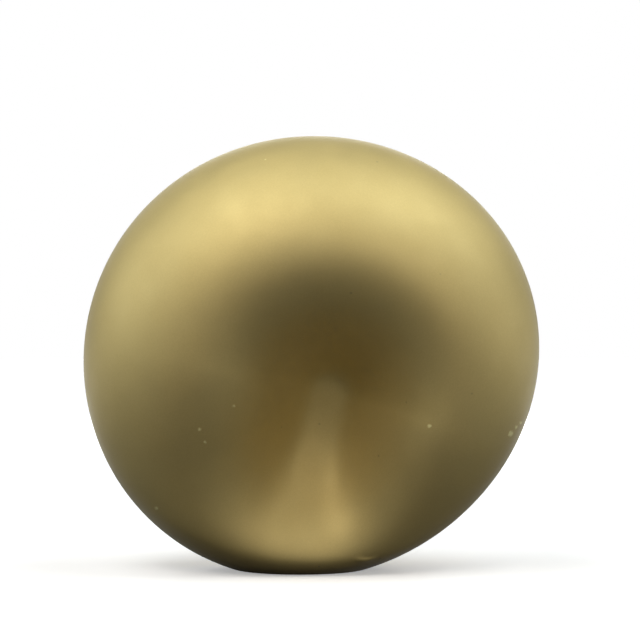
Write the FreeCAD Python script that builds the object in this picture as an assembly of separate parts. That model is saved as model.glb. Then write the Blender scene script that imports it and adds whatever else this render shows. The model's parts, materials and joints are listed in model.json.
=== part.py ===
"""Stress ball held pressed in: a seamless moulded skin full of gel, closed by a plug at the back.

X runs across the ball, Y from the thumb's side to the back and Z up. The ball stands on its foot, the
small flat that its own weight makes, and the origin is on the floor under the middle of the ball. The free
ball is round. A thumb presses it in from the front against the fingers behind, so it is wider than the
free ball and has a deep funnel, with a channel that runs from the funnel down over the lower edge.
Lengths are in millimetres and angles in degrees.
"""

import FreeCAD, Part
import math
import os

# The whole ball.
FREE_DIAMETER = 70.0  # across the ball when nothing presses it
SQUEEZED_RADIUS = 45.5  # mean radius of the squeezed ball's outline, seen from the front
OVAL = 1.0  # how far the outline's long ends stand past that radius
OVAL_ANGLE = 25.0  # the long axis of the outline, above X
LOBE = 0.3  # three soft corners on top of the oval
LOBE_ANGLE = 11.0
BACK_DEPTH = 15.0  # from the rim's plane to the back
BACK_FLATNESS = 2.6  # 2 is an ellipse, and more is flatter with a tighter rim
FOOT_SINK = 2.0  # how far the foot is flattened by the ball's weight

# The dent of the thumb. Its places are measured across and up from the middle of the outline.
TIP_ACROSS = 4.0  # middle of the thumb's round tip
TIP_UP = -7.4
THUMB_LEAN = 14.1  # the thumb's lean to the right, from upright
CHANNEL_END = 1.5  # the channel's floor levels out this far inside the lower edge
THUMB_ROUND = 7.5  # how far the thumb's round underside holds the slopes apart
FLOOR_AT_TIP = -13.3  # where the slopes would meet at the tip, in front of the rim's plane
FLOOR_AT_EDGE = 15.8  # and at the lower edge
FUNNEL_WIDTH = 13.1  # reach of the slope round the tip
FUNNEL_POWER = 1.38  # how round that slope is
CHANNEL_WIDTH = 21.6  # the same for the channel at the lower edge
CHANNEL_POWER = 1.81
FLOOR_BLEND = 3.0  # how softly the channel runs out over the rim

# The back, where the fingers hold against the thumb.
DISH_DEPTH = 2.5
DISH_WIDTH = 18.0

# The skin and what fills it.
WALL = 2.4
FILLING_CLEARANCE = 0.3

# The fill port in the middle of the back, and the plug that closes it.
PORT_RADIUS = 3.2
COLLAR_WALL = 4.0  # round the port
COLLAR_DEPTH = 5.5  # from the back of the skin to the collar's inner end
SEAT_RADIUS = 6.0  # the plug's head lies in this recess
SEAT_DEPTH = 1.5
PLUG_CLEARANCE = 0.1
HEAD_EDGE = 0.4  # rounding of the head's outer edge
BARB_STEP = 1.3  # how far the barb stands out past the port
BARB_LENGTH = 2.4
GLUE_THICKNESS = 0.2

# The wall under the thumb, which travels when the ball is pressed and let go.
THUMB_WALL_RADIUS = 7.0
THUMB_WALL_LENGTH = 16.0  # between the middles of its two round ends
THUMB_WALL_GAP = 0.3

# How finely the form is drawn.
POINTS_ROUND = 60
RINGS_FRONT = 22
RINGS_BACK = 8
RING_CROWDING = 1.5  # how much closer the front's rings lie towards the middle of the thumb wall

FREE_HEIGHT = FREE_DIAMETER / 2
REACH = 2 * SQUEEZED_RADIUS  # longer than any cut needs to be


def outline_radius(turn):
    """Radius of the outline at an angle round the ball, from X towards Z."""
    oval = OVAL * math.cos(math.radians(2 * (turn - OVAL_ANGLE)))
    lobes = LOBE * math.cos(math.radians(3 * (turn - LOBE_ANGLE)))
    return SQUEEZED_RADIUS + oval + lobes


def soft_above(height, blend):
    """The height where it is above 0, and 0 where it is below, with a soft bend between."""
    return (height + math.hypot(height, blend)) / 2


def ease(share):
    """A share from 0 to 1, with a soft start and end."""
    return share * share * (3 - 2 * share)


def mix(first, second, share):
    return first + (second - first) * share


def thumb_direction():
    """Across and up, along the thumb from its tip to the lower edge."""
    lean = math.radians(THUMB_LEAN)
    return -math.sin(lean), -math.cos(lean)


def thumb_length():
    """From the middle of the thumb's tip, along the thumb, to the channel's end."""
    run_x, run_z = thumb_direction()
    along = TIP_ACROSS * run_x + TIP_UP * run_z
    to_edge = math.sqrt(SQUEEZED_RADIUS**2 + along**2 - TIP_ACROSS**2 - TIP_UP**2) - along
    return to_edge - CHANNEL_END


THUMB_LENGTH = thumb_length()


def thumb_wall_middle():
    run_x, run_z = thumb_direction()
    return TIP_ACROSS + run_x * THUMB_WALL_LENGTH / 2, TIP_UP + run_z * THUMB_WALL_LENGTH / 2


def beside_thumb(x, z):
    """How far along the thumb a place is, from 0 at the tip to 1 at the channel's end, and how far from the
    thumb's line."""
    run_x, run_z = thumb_direction()
    along = (x - TIP_ACROSS) * run_x + (z - TIP_UP) * run_z
    along = min(max(along, 0.0), THUMB_LENGTH)
    aside = math.hypot(x - TIP_ACROSS - along * run_x, z - TIP_UP - along * run_z)
    return ease(along / THUMB_LENGTH), aside


def free_height(x, z, front):
    """Height in front of the rim's plane at a place on the front or the back, before the thumb presses."""
    ratio = min(math.hypot(x, z) / outline_radius(math.degrees(math.atan2(z, x))), 1.0)
    if front:
        return FREE_HEIGHT * math.sqrt(1 - ratio**2)
    dish = 1 - DISH_DEPTH / BACK_DEPTH * math.exp(-((ratio * SQUEEZED_RADIUS / DISH_WIDTH) ** 2))
    return -BACK_DEPTH * dish * math.sqrt(1 - ratio**BACK_FLATNESS)


def pressed_height(height, x, z):
    """Height once the thumb has pressed the front in. The slopes run down towards the dent's floor, and the
    thumb's round underside stops them above it."""
    share, aside = beside_thumb(x, z)
    floor = mix(FLOOR_AT_TIP, FLOOR_AT_EDGE, share)
    width = mix(FUNNEL_WIDTH, CHANNEL_WIDTH, share)
    power = mix(FUNNEL_POWER, CHANNEL_POWER, share)
    reach = (aside**3 + THUMB_ROUND**3) ** (1 / 3)
    follow = math.exp(-((reach / width) ** power))
    return height - follow * soft_above(height - floor, FLOOR_BLEND)


def surface(turn, sweep):
    """A point of the skin's outside. Turn goes round the outline. Sweep goes from 0 in the middle of the
    thumb wall, over the rim at 90, to 180 in the middle of the back."""
    front = sweep < 90
    middle_x, middle_z = thumb_wall_middle() if front else (0, 0)
    ratio = math.sin(math.radians(sweep))
    edge = outline_radius(turn)
    x = mix(middle_x, edge * math.cos(math.radians(turn)), ratio)
    z = mix(middle_z, edge * math.sin(math.radians(turn)), ratio)
    return FreeCAD.Vector(x, -pressed_height(free_height(x, z, front), x, z), z)


def inset_surface(turn, sweep, inset):
    """The surface moved in by inset, square to itself."""
    step = 0.5
    round_step = surface(turn + step, sweep) - surface(turn - step, sweep)
    back_step = surface(turn, sweep + step) - surface(turn, sweep - step)
    inward = round_step.cross(back_step)
    inward.normalize()
    return surface(turn, sweep) + inward * inset


def ring(sweep, inset):
    """Points round the ball at one sweep. The last is the first again, so the ring closes."""
    points = [inset_surface(360 * n / POINTS_ROUND, sweep, inset) for n in range(POINTS_ROUND)]
    return points + points[:1]


def pole(sweep, inset):
    """The ring at the front or the back, where all points meet."""
    near = ring(abs(sweep - 1), inset)[:-1]
    middle = FreeCAD.Vector()
    for point in near:
        middle += point / len(near)
    return [middle] * (POINTS_ROUND + 1)


def ball(inset):
    """The pressed ball, with its outside moved in by inset, as one smooth closed surface."""
    rings = [pole(0, inset)]
    for n in range(1, RINGS_FRONT + 1):
        rings.append(ring(90 * (n / RINGS_FRONT) ** RING_CROWDING, inset))
    for n in range(1, RINGS_BACK):
        rings.append(ring(90 + 90 * n / RINGS_BACK, inset))
    rings.append(pole(180, inset))
    skin = Part.BSplineSurface()
    skin.interpolate(rings)
    solid = Part.makeSolid(Part.makeShell([skin.toShape()]))
    low = -SQUEEZED_RADIUS - REACH
    under_foot = Part.makeBox(2 * REACH, 2 * REACH, FOOT_HEIGHT + inset - low)
    under_foot.translate(FreeCAD.Vector(-REACH, -REACH, low))
    return solid.cut(under_foot)


def lowest_outline():
    """Height of the outline's lowest point before the foot flattens."""
    turns = [270 + n / 4 for n in range(-80, 81)]
    return min(outline_radius(turn) * math.sin(math.radians(turn)) for turn in turns)


FOOT_HEIGHT = lowest_outline() + FOOT_SINK


def rod(radius, start, end):
    """A round bar along Y in the middle of the ball."""
    return Part.makeCylinder(radius, end - start, FreeCAD.Vector(0, start, 0), FreeCAD.Vector(0, 1, 0))


def thumb_outline(radius):
    """A prism along Y, in front of the ball's back wall, with the thumb wall's rounded outline."""
    run_x, run_z = thumb_direction()
    start = FreeCAD.Vector(TIP_ACROSS, -REACH, TIP_UP)
    run = FreeCAD.Vector(run_x, 0, run_z)
    side = FreeCAD.Vector(-run_z, 0, run_x) * radius
    end = start + run * THUMB_WALL_LENGTH
    edges = [
        Part.Arc(start + side, start - run * radius, start - side).toShape(),
        Part.makeLine(start - side, end - side),
        Part.Arc(end - side, end + run * radius, end + side).toShape(),
        Part.makeLine(end + side, start + side),
    ]
    return Part.Face(Part.Wire(edges)).extrude(FreeCAD.Vector(0, REACH + BACK_DEPTH / 2, 0))


def only_solid(shape):
    (solid,) = shape.Solids
    return solid


def make_plug(seat, back):
    """The plug, turned from its section: a barb inside the collar, a stem in the port, and a flat head."""
    stem = PORT_RADIUS - PLUG_CLEARANCE
    head = SEAT_RADIUS - PLUG_CLEARANCE
    neck = back - COLLAR_DEPTH - PLUG_CLEARANCE
    section = [
        (0, neck - BARB_LENGTH),
        (stem - BARB_STEP, neck - BARB_LENGTH),
        (stem + BARB_STEP, neck),
        (stem, neck),
        (stem, seat + GLUE_THICKNESS),
        (head, seat + GLUE_THICKNESS),
        (head, back - HEAD_EDGE),
        (head - HEAD_EDGE, back),
        (0, back),
    ]
    points = [FreeCAD.Vector(radius, y, 0) for radius, y in section]
    face = Part.Face(Part.makePolygon(points + points[:1]))
    return face.revolve(FreeCAD.Vector(), FreeCAD.Vector(0, 1, 0), 360)


def make_parts():
    back = surface(0, 180).y
    seat = back - SEAT_DEPTH
    collar_end = back - COLLAR_DEPTH
    collar_radius = PORT_RADIUS + COLLAR_WALL
    outside = ball(0)
    shell = outside.cut(ball(WALL))

    skin = shell.fuse(rod(collar_radius, collar_end, REACH).common(outside))
    skin = skin.cut(rod(PORT_RADIUS, 0, REACH)).cut(rod(SEAT_RADIUS, seat, REACH))
    skin = skin.cut(thumb_outline(THUMB_WALL_RADIUS + THUMB_WALL_GAP))

    thumb_wall = shell.common(thumb_outline(THUMB_WALL_RADIUS))

    barb_room = PORT_RADIUS + BARB_STEP + FILLING_CLEARANCE
    barb_end = collar_end - PLUG_CLEARANCE - BARB_LENGTH
    filling = ball(WALL + FILLING_CLEARANCE)
    filling = filling.cut(rod(collar_radius + FILLING_CLEARANCE, collar_end - FILLING_CLEARANCE, REACH))
    filling = filling.cut(rod(barb_room, barb_end - FILLING_CLEARANCE, REACH))

    under_head = rod(SEAT_RADIUS - PLUG_CLEARANCE, seat, seat + GLUE_THICKNESS)
    glue = under_head.cut(rod(PORT_RADIUS, 0, REACH))

    box = outside.optimalBoundingBox()
    to_floor = FreeCAD.Vector(-(box.XMin + box.XMax) / 2, -(box.YMin + box.YMax) / 2, -FOOT_HEIGHT)
    parts = {
        "outer_skin": skin,
        "thumb_wall": thumb_wall,
        "gel_filling": filling,
        "fill_plug": make_plug(seat, back),
        "plug_seal": glue,
    }
    return {name: only_solid(shape).translated(to_floor) for name, shape in parts.items()}


os.makedirs("parts", exist_ok=True)
for name, shape in make_parts().items():
    shape.exportStep(f"parts/{name}.step")
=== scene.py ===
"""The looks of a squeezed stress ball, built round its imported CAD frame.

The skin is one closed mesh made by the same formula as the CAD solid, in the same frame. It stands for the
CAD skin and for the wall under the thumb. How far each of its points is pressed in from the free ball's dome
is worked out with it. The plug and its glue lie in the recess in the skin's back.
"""
import json
import math

import bpy
import numpy as np
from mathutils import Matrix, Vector


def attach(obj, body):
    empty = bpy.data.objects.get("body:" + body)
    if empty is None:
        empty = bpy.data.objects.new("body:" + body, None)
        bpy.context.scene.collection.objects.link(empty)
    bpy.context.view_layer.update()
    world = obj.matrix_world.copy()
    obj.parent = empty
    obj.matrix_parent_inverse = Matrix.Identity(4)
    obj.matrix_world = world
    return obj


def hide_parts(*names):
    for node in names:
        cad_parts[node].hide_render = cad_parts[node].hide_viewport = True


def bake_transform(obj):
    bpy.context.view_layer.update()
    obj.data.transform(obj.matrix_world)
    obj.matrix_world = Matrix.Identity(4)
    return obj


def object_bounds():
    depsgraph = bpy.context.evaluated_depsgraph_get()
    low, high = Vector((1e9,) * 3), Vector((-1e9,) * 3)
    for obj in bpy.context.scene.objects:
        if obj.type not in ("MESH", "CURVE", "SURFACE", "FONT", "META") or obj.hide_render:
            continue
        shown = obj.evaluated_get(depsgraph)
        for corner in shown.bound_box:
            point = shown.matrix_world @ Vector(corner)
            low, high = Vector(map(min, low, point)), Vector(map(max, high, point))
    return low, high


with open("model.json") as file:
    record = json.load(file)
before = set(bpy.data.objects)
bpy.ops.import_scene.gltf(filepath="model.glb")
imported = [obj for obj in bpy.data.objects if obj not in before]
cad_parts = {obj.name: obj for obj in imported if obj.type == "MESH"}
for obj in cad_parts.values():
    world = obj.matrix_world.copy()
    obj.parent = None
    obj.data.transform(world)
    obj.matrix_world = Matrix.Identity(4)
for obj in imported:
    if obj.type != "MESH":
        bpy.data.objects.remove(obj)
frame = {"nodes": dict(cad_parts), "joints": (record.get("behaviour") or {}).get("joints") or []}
cad_low, cad_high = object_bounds()

MM = 0.001
TRAVEL = frame["joints"][0]["range_m"][1] / MM  # how far the thumb wall springs out

# The form, as in the CAD source, in millimetres and degrees.
FREE_DIAMETER = 70.0
SQUEEZED_RADIUS = 45.5
OVAL = 1.0
OVAL_ANGLE = 25.0
LOBE = 0.3
LOBE_ANGLE = 11.0
BACK_DEPTH = 15.0
BACK_FLATNESS = 2.6
FOOT_SINK = 2.0
TIP_ACROSS = 4.0
TIP_UP = -7.4
THUMB_LEAN = 14.1
CHANNEL_END = 1.5
THUMB_ROUND = 7.5
FLOOR_AT_TIP = -13.3
FLOOR_AT_EDGE = 15.8
FUNNEL_WIDTH = 13.1
FUNNEL_POWER = 1.38
CHANNEL_WIDTH = 21.6
CHANNEL_POWER = 1.81
FLOOR_BLEND = 3.0
DISH_DEPTH = 2.5
DISH_WIDTH = 18.0
THUMB_WALL_LENGTH = 16.0
PORT_RADIUS = 3.2
COLLAR_DEPTH = 5.5
SEAT_RADIUS = 6.0
SEAT_DEPTH = 1.5
BARB_STEP = 1.3
BARB_LENGTH = 2.4
PLUG_CLEARANCE = 0.1
GLUE_THICKNESS = 0.2

# What only the looks have.
SEAT_LIP = 0.35  # rounding of the recess's edge
HEAD_DOME = 0.25  # how far the plug's head swells in the middle
HEAD_ROUND = 0.6
EDGE_BREAK = 0.15  # small bevels on the plug and in its recess
CENTRE_HOLE = 0.2  # radius of the ring next to a closed end
DENT_EASING = 0.4  # how softly the dent stops short of the joint's travel
CREASE_ACROSS = 11.0  # a short fold of skin beside the channel's mouth
CREASE_UP = -40.0
CREASE_LENGTH = 3.6
CREASE_WIDTH = 0.45
CREASE_HEIGHT = 0.5
COLUMNS = 360
FRONT_RINGS = 200
BACK_RINGS = 90

FREE_HEIGHT = FREE_DIAMETER / 2


def outline_radius(turn):
    oval = OVAL * np.cos(np.radians(2 * (turn - OVAL_ANGLE)))
    lobes = LOBE * np.cos(np.radians(3 * (turn - LOBE_ANGLE)))
    return SQUEEZED_RADIUS + oval + lobes


def soft_above(height, blend):
    return (height + np.hypot(height, blend)) / 2


def ease(share):
    return share * share * (3 - 2 * share)


def mix(first, second, share):
    return first + (second - first) * share


def thumb_direction():
    lean = math.radians(THUMB_LEAN)
    return -math.sin(lean), -math.cos(lean)


def thumb_length():
    run_x, run_z = thumb_direction()
    along = TIP_ACROSS * run_x + TIP_UP * run_z
    to_edge = math.sqrt(SQUEEZED_RADIUS**2 + along**2 - TIP_ACROSS**2 - TIP_UP**2) - along
    return to_edge - CHANNEL_END


THUMB_LENGTH = thumb_length()


def beside_thumb(x, z):
    run_x, run_z = thumb_direction()
    along = (x - TIP_ACROSS) * run_x + (z - TIP_UP) * run_z
    along = np.clip(along, 0.0, THUMB_LENGTH)
    aside = np.hypot(x - TIP_ACROSS - along * run_x, z - TIP_UP - along * run_z)
    return ease(along / THUMB_LENGTH), aside


def free_height(x, z, front):
    ratio = np.minimum(np.hypot(x, z) / outline_radius(np.degrees(np.arctan2(z, x))), 1.0)
    dome = FREE_HEIGHT * np.sqrt(1 - ratio**2)
    dish = 1 - DISH_DEPTH / BACK_DEPTH * np.exp(-((ratio * SQUEEZED_RADIUS / DISH_WIDTH) ** 2))
    back = -BACK_DEPTH * dish * np.sqrt(1 - ratio**BACK_FLATNESS)
    return np.where(front, dome, back)


def pressed_height(height, x, z):
    share, aside = beside_thumb(x, z)
    floor = mix(FLOOR_AT_TIP, FLOOR_AT_EDGE, share)
    width = mix(FUNNEL_WIDTH, CHANNEL_WIDTH, share)
    power = mix(FUNNEL_POWER, CHANNEL_POWER, share)
    reach = (aside**3 + THUMB_ROUND**3) ** (1 / 3)
    follow = np.exp(-((reach / width) ** power))
    return height - follow * soft_above(height - floor, FLOOR_BLEND)


def crease_height(x, z):
    """A low fold, a little bowed, that lies along the ball's lower edge."""
    along = (x - CREASE_ACROSS) / (CREASE_LENGTH / 2)
    across = (z - CREASE_UP - 0.4 * along**2) / CREASE_WIDTH
    return CREASE_HEIGHT * np.exp(-(along**4) - across**2)


def foot_height():
    turns = 270 + np.arange(-80, 81) / 4
    return float(np.min(outline_radius(turns) * np.sin(np.radians(turns)))) + FOOT_SINK


def new_piece(name, points, faces):
    mesh = bpy.data.meshes.new(name)
    mesh.from_pydata([tuple(point) for point in points], [], faces)
    mesh.polygons.foreach_set("use_smooth", [True] * len(mesh.polygons))
    mesh.update()
    piece = bpy.data.objects.new(name, mesh)
    bpy.context.scene.collection.objects.link(piece)
    return piece


def closed_piece(name, rings):
    """A closed mesh from rings of points, with the middle of its first and last ring as its two ends."""
    count, columns = rings.shape[:2]
    points = np.vstack([rings.reshape(-1, 3), [rings[0].mean(0), rings[-1].mean(0)]])
    faces = []
    for ring in range(count - 1):
        low, high = ring * columns, (ring + 1) * columns
        for column in range(columns):
            after = (column + 1) % columns
            faces.append((low + column, low + after, high + after, high + column))
    last = (count - 1) * columns
    for column in range(columns):
        after = (column + 1) % columns
        faces.append((count * columns, after, column))
        faces.append((count * columns + 1, last + column, last + after))
    return new_piece(name, points, faces)


def skin_rings():
    """The pressed skin's points from the middle of the thumb wall, over the rim, to the edge of the plug's
    recess, and how far each is pressed in from the free dome."""
    run_x, run_z = thumb_direction()
    turns = np.arange(COLUMNS) * 360 / COLUMNS
    edge_x = outline_radius(turns) * np.cos(np.radians(turns))
    edge_z = outline_radius(turns) * np.sin(np.radians(turns))
    lip_x = (SEAT_RADIUS + SEAT_LIP) * np.cos(np.radians(turns))
    lip_z = (SEAT_RADIUS + SEAT_LIP) * np.sin(np.radians(turns))
    front_ratio = np.sin(np.radians(90 * (np.arange(1, FRONT_RINGS + 1) / FRONT_RINGS) ** 1.2))[:, None]
    back_ratio = np.cos(np.radians(90 * np.arange(1, BACK_RINGS + 1) / BACK_RINGS))[:, None]
    x = np.vstack([
        mix(TIP_ACROSS + run_x * THUMB_WALL_LENGTH / 2, edge_x, front_ratio),
        mix(lip_x, edge_x, back_ratio),
    ])
    z = np.vstack([
        mix(TIP_UP + run_z * THUMB_WALL_LENGTH / 2, edge_z, front_ratio),
        mix(lip_z, edge_z, back_ratio),
    ])
    front = np.arange(len(x))[:, None] < FRONT_RINGS
    free = free_height(x, z, front)
    dent = free - pressed_height(free, x, z)
    dent = TRAVEL - soft_above(TRAVEL - dent, DENT_EASING)
    pressed = free - dent + np.where(front, crease_height(x, z), 0.0)
    return np.stack([x, -pressed, z], axis=-1), dent


def turned_rings(profile, columns):
    """Rings about Y from (radius, y) pairs."""
    angles = np.radians(np.arange(columns) * 360 / columns)
    return np.array([
        np.stack([radius * np.cos(angles), np.full(columns, y), radius * np.sin(angles)], axis=-1)
        for radius, y in profile
    ])


def arc(middle_radius, middle_y, radius, start, end, steps):
    """(radius, y) pairs on an arc, with its angles from the radius towards Y."""
    angles = np.radians(np.linspace(start, end, steps))
    return [(middle_radius + radius * math.cos(a), middle_y + radius * math.sin(a)) for a in angles]


back = float(-pressed_height(free_height(0.0, 0.0, False), 0.0, 0.0))
seat = back - SEAT_DEPTH
collar_end = back - COLLAR_DEPTH
barb_end = collar_end - PLUG_CLEARANCE - BARB_LENGTH

outside, dent = skin_rings()
middle_x = (outside[..., 0].min() + outside[..., 0].max()) / 2
middle_y = (outside[..., 1].min() + outside[..., 1].max()) / 2
rim = Vector((-middle_x, -middle_y, -foot_height())) * MM


def placed(rings):
    return rings * MM + np.array(rim)


def make_skin():
    lip = outside[-1, :, 1]
    recess = []
    for angle in (22.5, 45.0, 67.5, 90.0):
        radius = SEAT_RADIUS + SEAT_LIP * (1 - math.sin(math.radians(angle)))
        drop = SEAT_LIP * (1 - math.cos(math.radians(angle)))
        ring = turned_rings([(radius, 0.0)], COLUMNS)[0]
        ring[:, 1] = lip - drop
        recess.append(ring)
    barb_room = PORT_RADIUS + BARB_STEP + PLUG_CLEARANCE
    profile = [
        (SEAT_RADIUS, seat + EDGE_BREAK),
        (SEAT_RADIUS - EDGE_BREAK, seat),
        (PORT_RADIUS + EDGE_BREAK, seat),
        (PORT_RADIUS, seat - EDGE_BREAK),
        (PORT_RADIUS, collar_end),
        (barb_room, collar_end - 0.02),
        (barb_room, barb_end - PLUG_CLEARANCE),
        (CENTRE_HOLE, barb_end - PLUG_CLEARANCE),
    ]
    rings = np.concatenate([outside, recess, turned_rings(profile, COLUMNS)])
    rings = placed(rings)
    rings[..., 2] = np.maximum(rings[..., 2], 0.0)
    piece = closed_piece("skin", rings)
    dents = np.zeros(rings.shape[:2])
    dents[: len(dent)] = dent
    return piece, np.concatenate([dents.ravel(), [dents[0].mean(), 0.0]])


skin, dents = make_skin()
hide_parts("outer_skin", "thumb_wall")
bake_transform(skin)


def make_plug():
    stem = PORT_RADIUS - PLUG_CLEARANCE
    head = SEAT_RADIUS - PLUG_CLEARANCE
    neck = collar_end - PLUG_CLEARANCE
    under = seat + GLUE_THICKNESS
    point = stem - BARB_STEP
    shoulder = stem + BARB_STEP
    profile = [(CENTRE_HOLE, barb_end), (point - 0.2, barb_end), (point, barb_end + EDGE_BREAK)]
    profile += [(shoulder, neck - 0.2), (shoulder - 0.1, neck), (stem, neck)]
    profile += [(stem, under), (head - EDGE_BREAK, under), (head, under + EDGE_BREAK)]
    profile += arc(head - HEAD_ROUND, back - HEAD_ROUND, HEAD_ROUND, 0, 80, 8)
    for share in (0.8, 0.6, 0.4, 0.2, 0.05):
        profile.append(((head - HEAD_ROUND) * share, back + HEAD_DOME * (1 - share**2)))
    return closed_piece("plug", placed(turned_rings(profile, 128)))


plug = make_plug()
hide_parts("fill_plug")
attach(plug, "ball")


def make_material(name):
    material = bpy.data.materials.new(name)
    material.use_nodes = True
    return material, material.node_tree, material.node_tree.nodes["Principled BSDF"]


def add_node(tree, kind, **inputs):
    """A node with some of its inputs set: to a value, or linked to an output."""
    node = tree.nodes.new(kind)
    for name, value in inputs.items():
        set_input(tree, node, name.replace("_", " "), value)
    return node


def set_input(tree, node, name, value):
    socket = node.inputs[name]
    if isinstance(value, bpy.types.NodeSocket):
        tree.links.new(value, socket)
    else:
        socket.default_value = value


def math_node(tree, operation, *values):
    node = tree.nodes.new("ShaderNodeMath")
    node.operation = operation
    for number, value in enumerate(values):
        set_input(tree, node, number, value)
    return node.outputs[0]


def ramp(tree, value, start, end, low=0.0, high=1.0):
    """Value from start to end, taken smoothly to low to high."""
    node = add_node(tree, "ShaderNodeMapRange", Value=value)
    node.interpolation_type = "SMOOTHSTEP"
    for name, number in (("From Min", start), ("From Max", end), ("To Min", low), ("To Max", high)):
        node.inputs[name].default_value = number
    return node.outputs["Result"]


GOLD_DEEP = (0.66, 0.530, 0.213)
GOLD_BRIGHT = (0.72, 0.584, 0.24)
PRICK = (0.30, 0.24, 0.12)
DUST = (0.94, 0.86, 0.42)
METALLIC = 0.6


def varied_colour(tree, value, first, second):
    """One colour to the other as value goes from 0 to 1. A colour is a value or an output."""
    node = tree.nodes.new("ShaderNodeMix")
    node.data_type = "RGBA"
    for name, colour in (("A", first), ("B", second)):
        set_input(tree, node, name, (*colour, 1) if isinstance(colour, tuple) else colour)
    tree.links.new(value, node.inputs["Factor"])
    return node.outputs["Result"]


def noise(tree, place, size, detail=2.0):
    """Noise from 0 to 1 with features of about this size in metres."""
    return add_node(tree, "ShaderNodeTexNoise", Vector=place, Scale=1 / size, Detail=detail).outputs["Fac"]


def bumped(tree, shader, layers):
    """Bumps from (height, depth in metres) pairs, one on top of the other."""
    normal = None
    for height, depth in layers:
        bump = add_node(tree, "ShaderNodeBump", Height=height, Distance=depth)
        if normal:
            tree.links.new(normal, bump.inputs["Normal"])
        normal = bump.outputs["Normal"]
    tree.links.new(normal, shader.inputs["Normal"])


def specks(tree, place, spacing, size, share):
    """1 in small round specks: one in each cell of this spacing, in this share of the cells."""
    cells = add_node(tree, "ShaderNodeTexVoronoi", Vector=place, Scale=1 / spacing)
    chosen = add_node(tree, "ShaderNodeSeparateXYZ", Vector=cells.outputs["Color"])
    dot = ramp(tree, cells.outputs["Distance"], size / spacing, 0.4 * size / spacing)
    kept = math_node(tree, "LESS_THAN", chosen.outputs["X"], share)
    return math_node(tree, "MULTIPLY", dot, kept)


# Pale scuffs and specks of dust on the front: across and up from the ball's middle, and radius, in mm.
SCUFFS = (
    (-21.0, -13.5, 0.30),
    (-20.0, -16.0, 0.25),
    (-14.5, -9.0, 0.25),
    (-30.0, -29.5, 0.35),
    (23.0, -13.0, 0.35),
    (39.5, -15.0, 0.60),
    (40.7, -13.8, 0.35),
    (41.8, -13.0, 0.35),
)


def scuffs(tree, place):
    """1 in the scuffs, which are only on the front."""
    parts = add_node(tree, "ShaderNodeSeparateXYZ", Vector=place)
    flat = add_node(tree, "ShaderNodeCombineXYZ", X=parts.outputs["X"], Z=parts.outputs["Z"]).outputs[0]
    ragged = math_node(tree, "MULTIPLY", noise(tree, place, 0.0005, 2.0), 0.0006)
    most = None
    for across, up, radius in SCUFFS:
        away = tree.nodes.new("ShaderNodeVectorMath")
        away.operation = "DISTANCE"
        tree.links.new(flat, away.inputs[0])
        away.inputs[1].default_value = (rim.x + across * MM, 0.0, rim.z + up * MM)
        reach = math_node(tree, "ADD", away.outputs["Value"], ragged)
        spot = ramp(tree, reach, (radius + 0.5) * MM, radius * MM)
        most = math_node(tree, "MAXIMUM", most, spot) if most else spot
    front = math_node(tree, "LESS_THAN", parts.outputs["Y"], rim.y)
    return math_node(tree, "MULTIPLY", most, front)


def pearl_rubber(name, grain, scuffed):
    """Rubber full of fine gold pearl pigment: soft clouds in the colour, a fine grain, pinpricks and dust."""
    material, tree, shader = make_material(name)
    place = tree.nodes.new("ShaderNodeTexCoord").outputs["Object"]
    clouds = noise(tree, place, 0.018, 3.0)
    flakes = noise(tree, place, 0.0003, 1.0)
    tone = math_node(tree, "MULTIPLY_ADD", flakes, 0.35, math_node(tree, "MULTIPLY", clouds, 0.65))
    gold = varied_colour(tree, ramp(tree, tone, 0.3, 0.7), GOLD_DEEP, GOLD_BRIGHT)
    pricks = math_node(tree, "MULTIPLY", specks(tree, place, 0.006, 0.00035, 0.3), 0.35)
    dust = specks(tree, place, 0.009, 0.0004, 0.15)
    if scuffed:
        dust = math_node(tree, "MAXIMUM", dust, scuffs(tree, place))
    pricked = varied_colour(tree, pricks, gold, PRICK)
    dusty = varied_colour(tree, dust, pricked, DUST)
    tree.links.new(dusty, shader.inputs["Base Color"])
    satin = ramp(tree, noise(tree, place, 0.006, 3.0), 0.3, 0.7, 0.57, 0.63)
    tree.links.new(math_node(tree, "MULTIPLY_ADD", dust, 0.3, satin), shader.inputs["Roughness"])
    set_input(tree, shader, "Metallic", ramp(tree, dust, 0.0, 1.0, METALLIC, 0.0))
    shader.inputs["Sheen Weight"].default_value = 0.5
    shader.inputs["Sheen Roughness"].default_value = 0.3
    shader.inputs["Coat Weight"].default_value = 0.1
    shader.inputs["Coat Roughness"].default_value = 0.45
    bumped(tree, shader, [
        (noise(tree, place, 0.012, 1.0), 0.00006),
        (noise(tree, place, grain, 2.0), 0.000006),
        (dust, 0.00003),
    ])
    return material


def clear_glue():
    """Dried rubber cement: amber, a little cloudy, with a few trapped bubbles."""
    material, tree, shader = make_material("rubber_cement")
    place = tree.nodes.new("ShaderNodeTexCoord").outputs["Object"]
    cloudy = ramp(tree, noise(tree, place, 0.0015, 3.0), 0.35, 0.65)
    amber = varied_colour(tree, cloudy, (0.42, 0.30, 0.12), (0.60, 0.48, 0.24))
    tree.links.new(amber, shader.inputs["Base Color"])
    bubbles = specks(tree, place, 0.001, 0.0002, 0.4)
    tree.links.new(ramp(tree, bubbles, 0.0, 1.0, 0.28, 0.12), shader.inputs["Roughness"])
    bumped(tree, shader, [(noise(tree, place, 0.0008, 2.0), 0.00004), (bubbles, 0.00005)])
    return material


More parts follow.
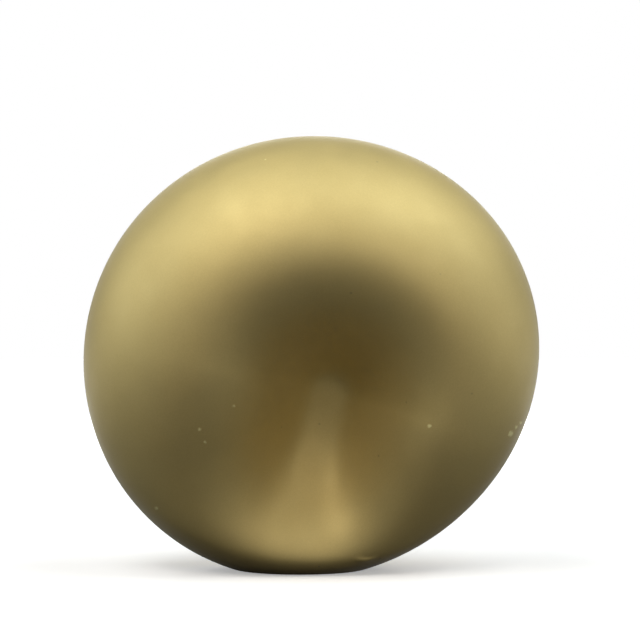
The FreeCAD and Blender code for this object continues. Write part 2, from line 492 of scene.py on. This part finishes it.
def soft_gel():
    """The filling: a clear, faintly yellow gel with haze and small bubbles in it."""
    material, tree, shader = make_material("soft_gel")
    place = tree.nodes.new("ShaderNodeTexCoord").outputs["Object"]
    haze = ramp(tree, noise(tree, place, 0.01, 4.0), 0.3, 0.7)
    hazy = varied_colour(tree, haze, (0.72, 0.68, 0.50), (0.84, 0.82, 0.70))
    tree.links.new(hazy, shader.inputs["Base Color"])
    bubbles = specks(tree, place, 0.005, 0.0007, 0.5)
    tree.links.new(ramp(tree, bubbles, 0.0, 1.0, 0.22, 0.08), shader.inputs["Roughness"])
    shader.inputs["Subsurface Weight"].default_value = 0.5
    shader.inputs["Subsurface Radius"].default_value = (0.012, 0.011, 0.008)
    bumped(tree, shader, [(noise(tree, place, 0.004, 1.0), 0.0001), (bubbles, 0.0001)])
    return material


def finish_node(node, material):
    slots = frame["nodes"][node].data.materials
    slots.clear()
    slots.append(material)


skin.data.materials.append(pearl_rubber("pearl_gold_skin", 0.0004, True))
plug.data.materials.append(pearl_rubber("pearl_gold_plug", 0.00025, False))
finish_node("plug_seal", clear_glue())
finish_node("gel_filling", soft_gel())


# The studio: a pale floor that runs out to white, and large soft lamps above.
NEUTRAL = (1.0, 1.0, 1.0)
COOL = (0.93, 0.98, 1.0)
WARM = (1.0, 0.92, 0.84)
# Name, height and turn in degrees as seen from the ball (0 is the front, 90 the right), watts, colour.
LAMPS = (
    ("top_left", 65, -60, 1.0, COOL),
    ("top_right", 65, 60, 1.0, COOL),
    ("front_left", 45, -30, 1.0, WARM),
    ("front_right", 25, 30, 0.5, WARM),
    ("left", 25, -90, 0.8, COOL),
    ("right", 45, 90, 0.8, COOL),
    ("low_right", 5, 90, 0.4, NEUTRAL),
    ("low_front", 5, 0, 0.1, WARM),
    ("back", 15, 180, 1.0, NEUTRAL),
)
LAMP_SIDE = 0.3
LAMP_DISTANCE = 0.6
FILL = (0.02, 0.02, 0.02)


def add_lamps(aim):
    for name, height, turn, watts, colour in LAMPS:
        up, round_ball = math.radians(height), math.radians(turn)
        level = Vector((math.sin(round_ball), -math.cos(round_ball), 0.0))
        away = level * math.cos(up) + Vector((0.0, 0.0, math.sin(up)))
        lamp = bpy.data.lights.new(name, "AREA")
        lamp.size = LAMP_SIDE
        lamp.energy = watts
        lamp.color = colour
        holder = bpy.data.objects.new(name, lamp)
        holder.location = aim + away * LAMP_DISTANCE
        holder.rotation_euler = away.to_track_quat("Z", "Y").to_euler()
        bpy.context.scene.collection.objects.link(holder)


def add_world():
    """White where the camera looks, and where gloss shows what is behind the ball. Dim for the rest."""
    world = bpy.data.worlds.new("studio")
    bpy.context.scene.world = world
    world.use_nodes = True
    tree = world.node_tree
    path = tree.nodes.new("ShaderNodeLightPath")
    direction = tree.nodes.new("ShaderNodeTexCoord").outputs["Generated"]
    apart = add_node(tree, "ShaderNodeSeparateXYZ", Vector=direction)
    gloss = math_node(tree, "MAXIMUM", path.outputs["Is Glossy Ray"], path.outputs["Is Transmission Ray"])
    behind = math_node(tree, "MULTIPLY", gloss, ramp(tree, apart.outputs["Y"], 0.8, 0.92))
    shown = math_node(tree, "MAXIMUM", path.outputs["Is Camera Ray"], behind)
    background = tree.nodes["Background"]
    colour = tree.nodes.new("ShaderNodeMix")
    colour.data_type = "RGBA"
    colour.inputs["A"].default_value = (*FILL, 1)
    colour.inputs["B"].default_value = (1, 1, 1, 1)
    tree.links.new(shown, colour.inputs["Factor"])
    tree.links.new(colour.outputs["Result"], background.inputs["Color"])


def add_floor():
    """Pale where it is seen, and dark to the light that it throws back on the ball. Away from the ball it
    glows by itself, so that it meets the background without a line."""
    bpy.ops.mesh.primitive_plane_add(size=4, location=(0, 0, 0))
    floor = bpy.context.object
    floor.name = "floor"
    material, tree, shader = make_material("floor")
    path = tree.nodes.new("ShaderNodeLightPath")
    place = tree.nodes.new("ShaderNodeTexCoord").outputs["Object"]
    away = add_node(tree, "ShaderNodeVectorMath", Vector=place)
    away.operation = "LENGTH"
    away = away.outputs["Value"]
    gloss = math_node(tree, "MAXIMUM", path.outputs["Is Glossy Ray"], path.outputs["Is Transmission Ray"])
    depth = add_node(tree, "ShaderNodeSeparateXYZ", Vector=place).outputs["Y"]
    behind = math_node(tree, "MAXIMUM", ramp(tree, away, 0.4, 1.2), ramp(tree, depth, 0.03, 0.20))
    far = math_node(tree, "MULTIPLY", gloss, behind)
    shown = math_node(tree, "MAXIMUM", path.outputs["Is Camera Ray"], far)
    pale = ramp(tree, shown, 0.0, 1.0, 0.1, 0.9)
    set_input(tree, shader, "Base Color", pale)
    shader.inputs["Roughness"].default_value = 0.9
    shader.inputs["Specular IOR Level"].default_value = 0.0
    shader.inputs["Emission Color"].default_value = (1, 1, 1, 1)
    glow = math_node(tree, "MULTIPLY", shown, ramp(tree, away, 0.1, 0.6, 0.35, 1.0))
    set_input(tree, shader, "Emission Strength", glow)
    floor.data.materials.append(material)


centre = Vector((0, 0, (cad_low.z + cad_high.z) / 2))
add_lamps(centre)
add_world()
add_floor()

camera_data = bpy.data.cameras.new("camera")
camera = bpy.data.objects.new("camera", camera_data)
bpy.context.scene.collection.objects.link(camera)
bpy.context.scene.camera = camera
DISTANCE = 0.38
ACROSS, ABOVE = 0.0020, 0.0074  # the camera's place from the ball's middle
VIEW_WIDTH = 0.1302  # what the camera takes in at that distance
SENSOR = 36
camera.location = rim + Vector((ACROSS, -DISTANCE, ABOVE))
camera.rotation_euler = (math.radians(90), 0, 0)
camera_data.sensor_width = SENSOR
camera_data.lens = SENSOR * DISTANCE / VIEW_WIDTH
camera_data.clip_start = 0.01

bpy.context.scene.view_settings.view_transform = "Standard"
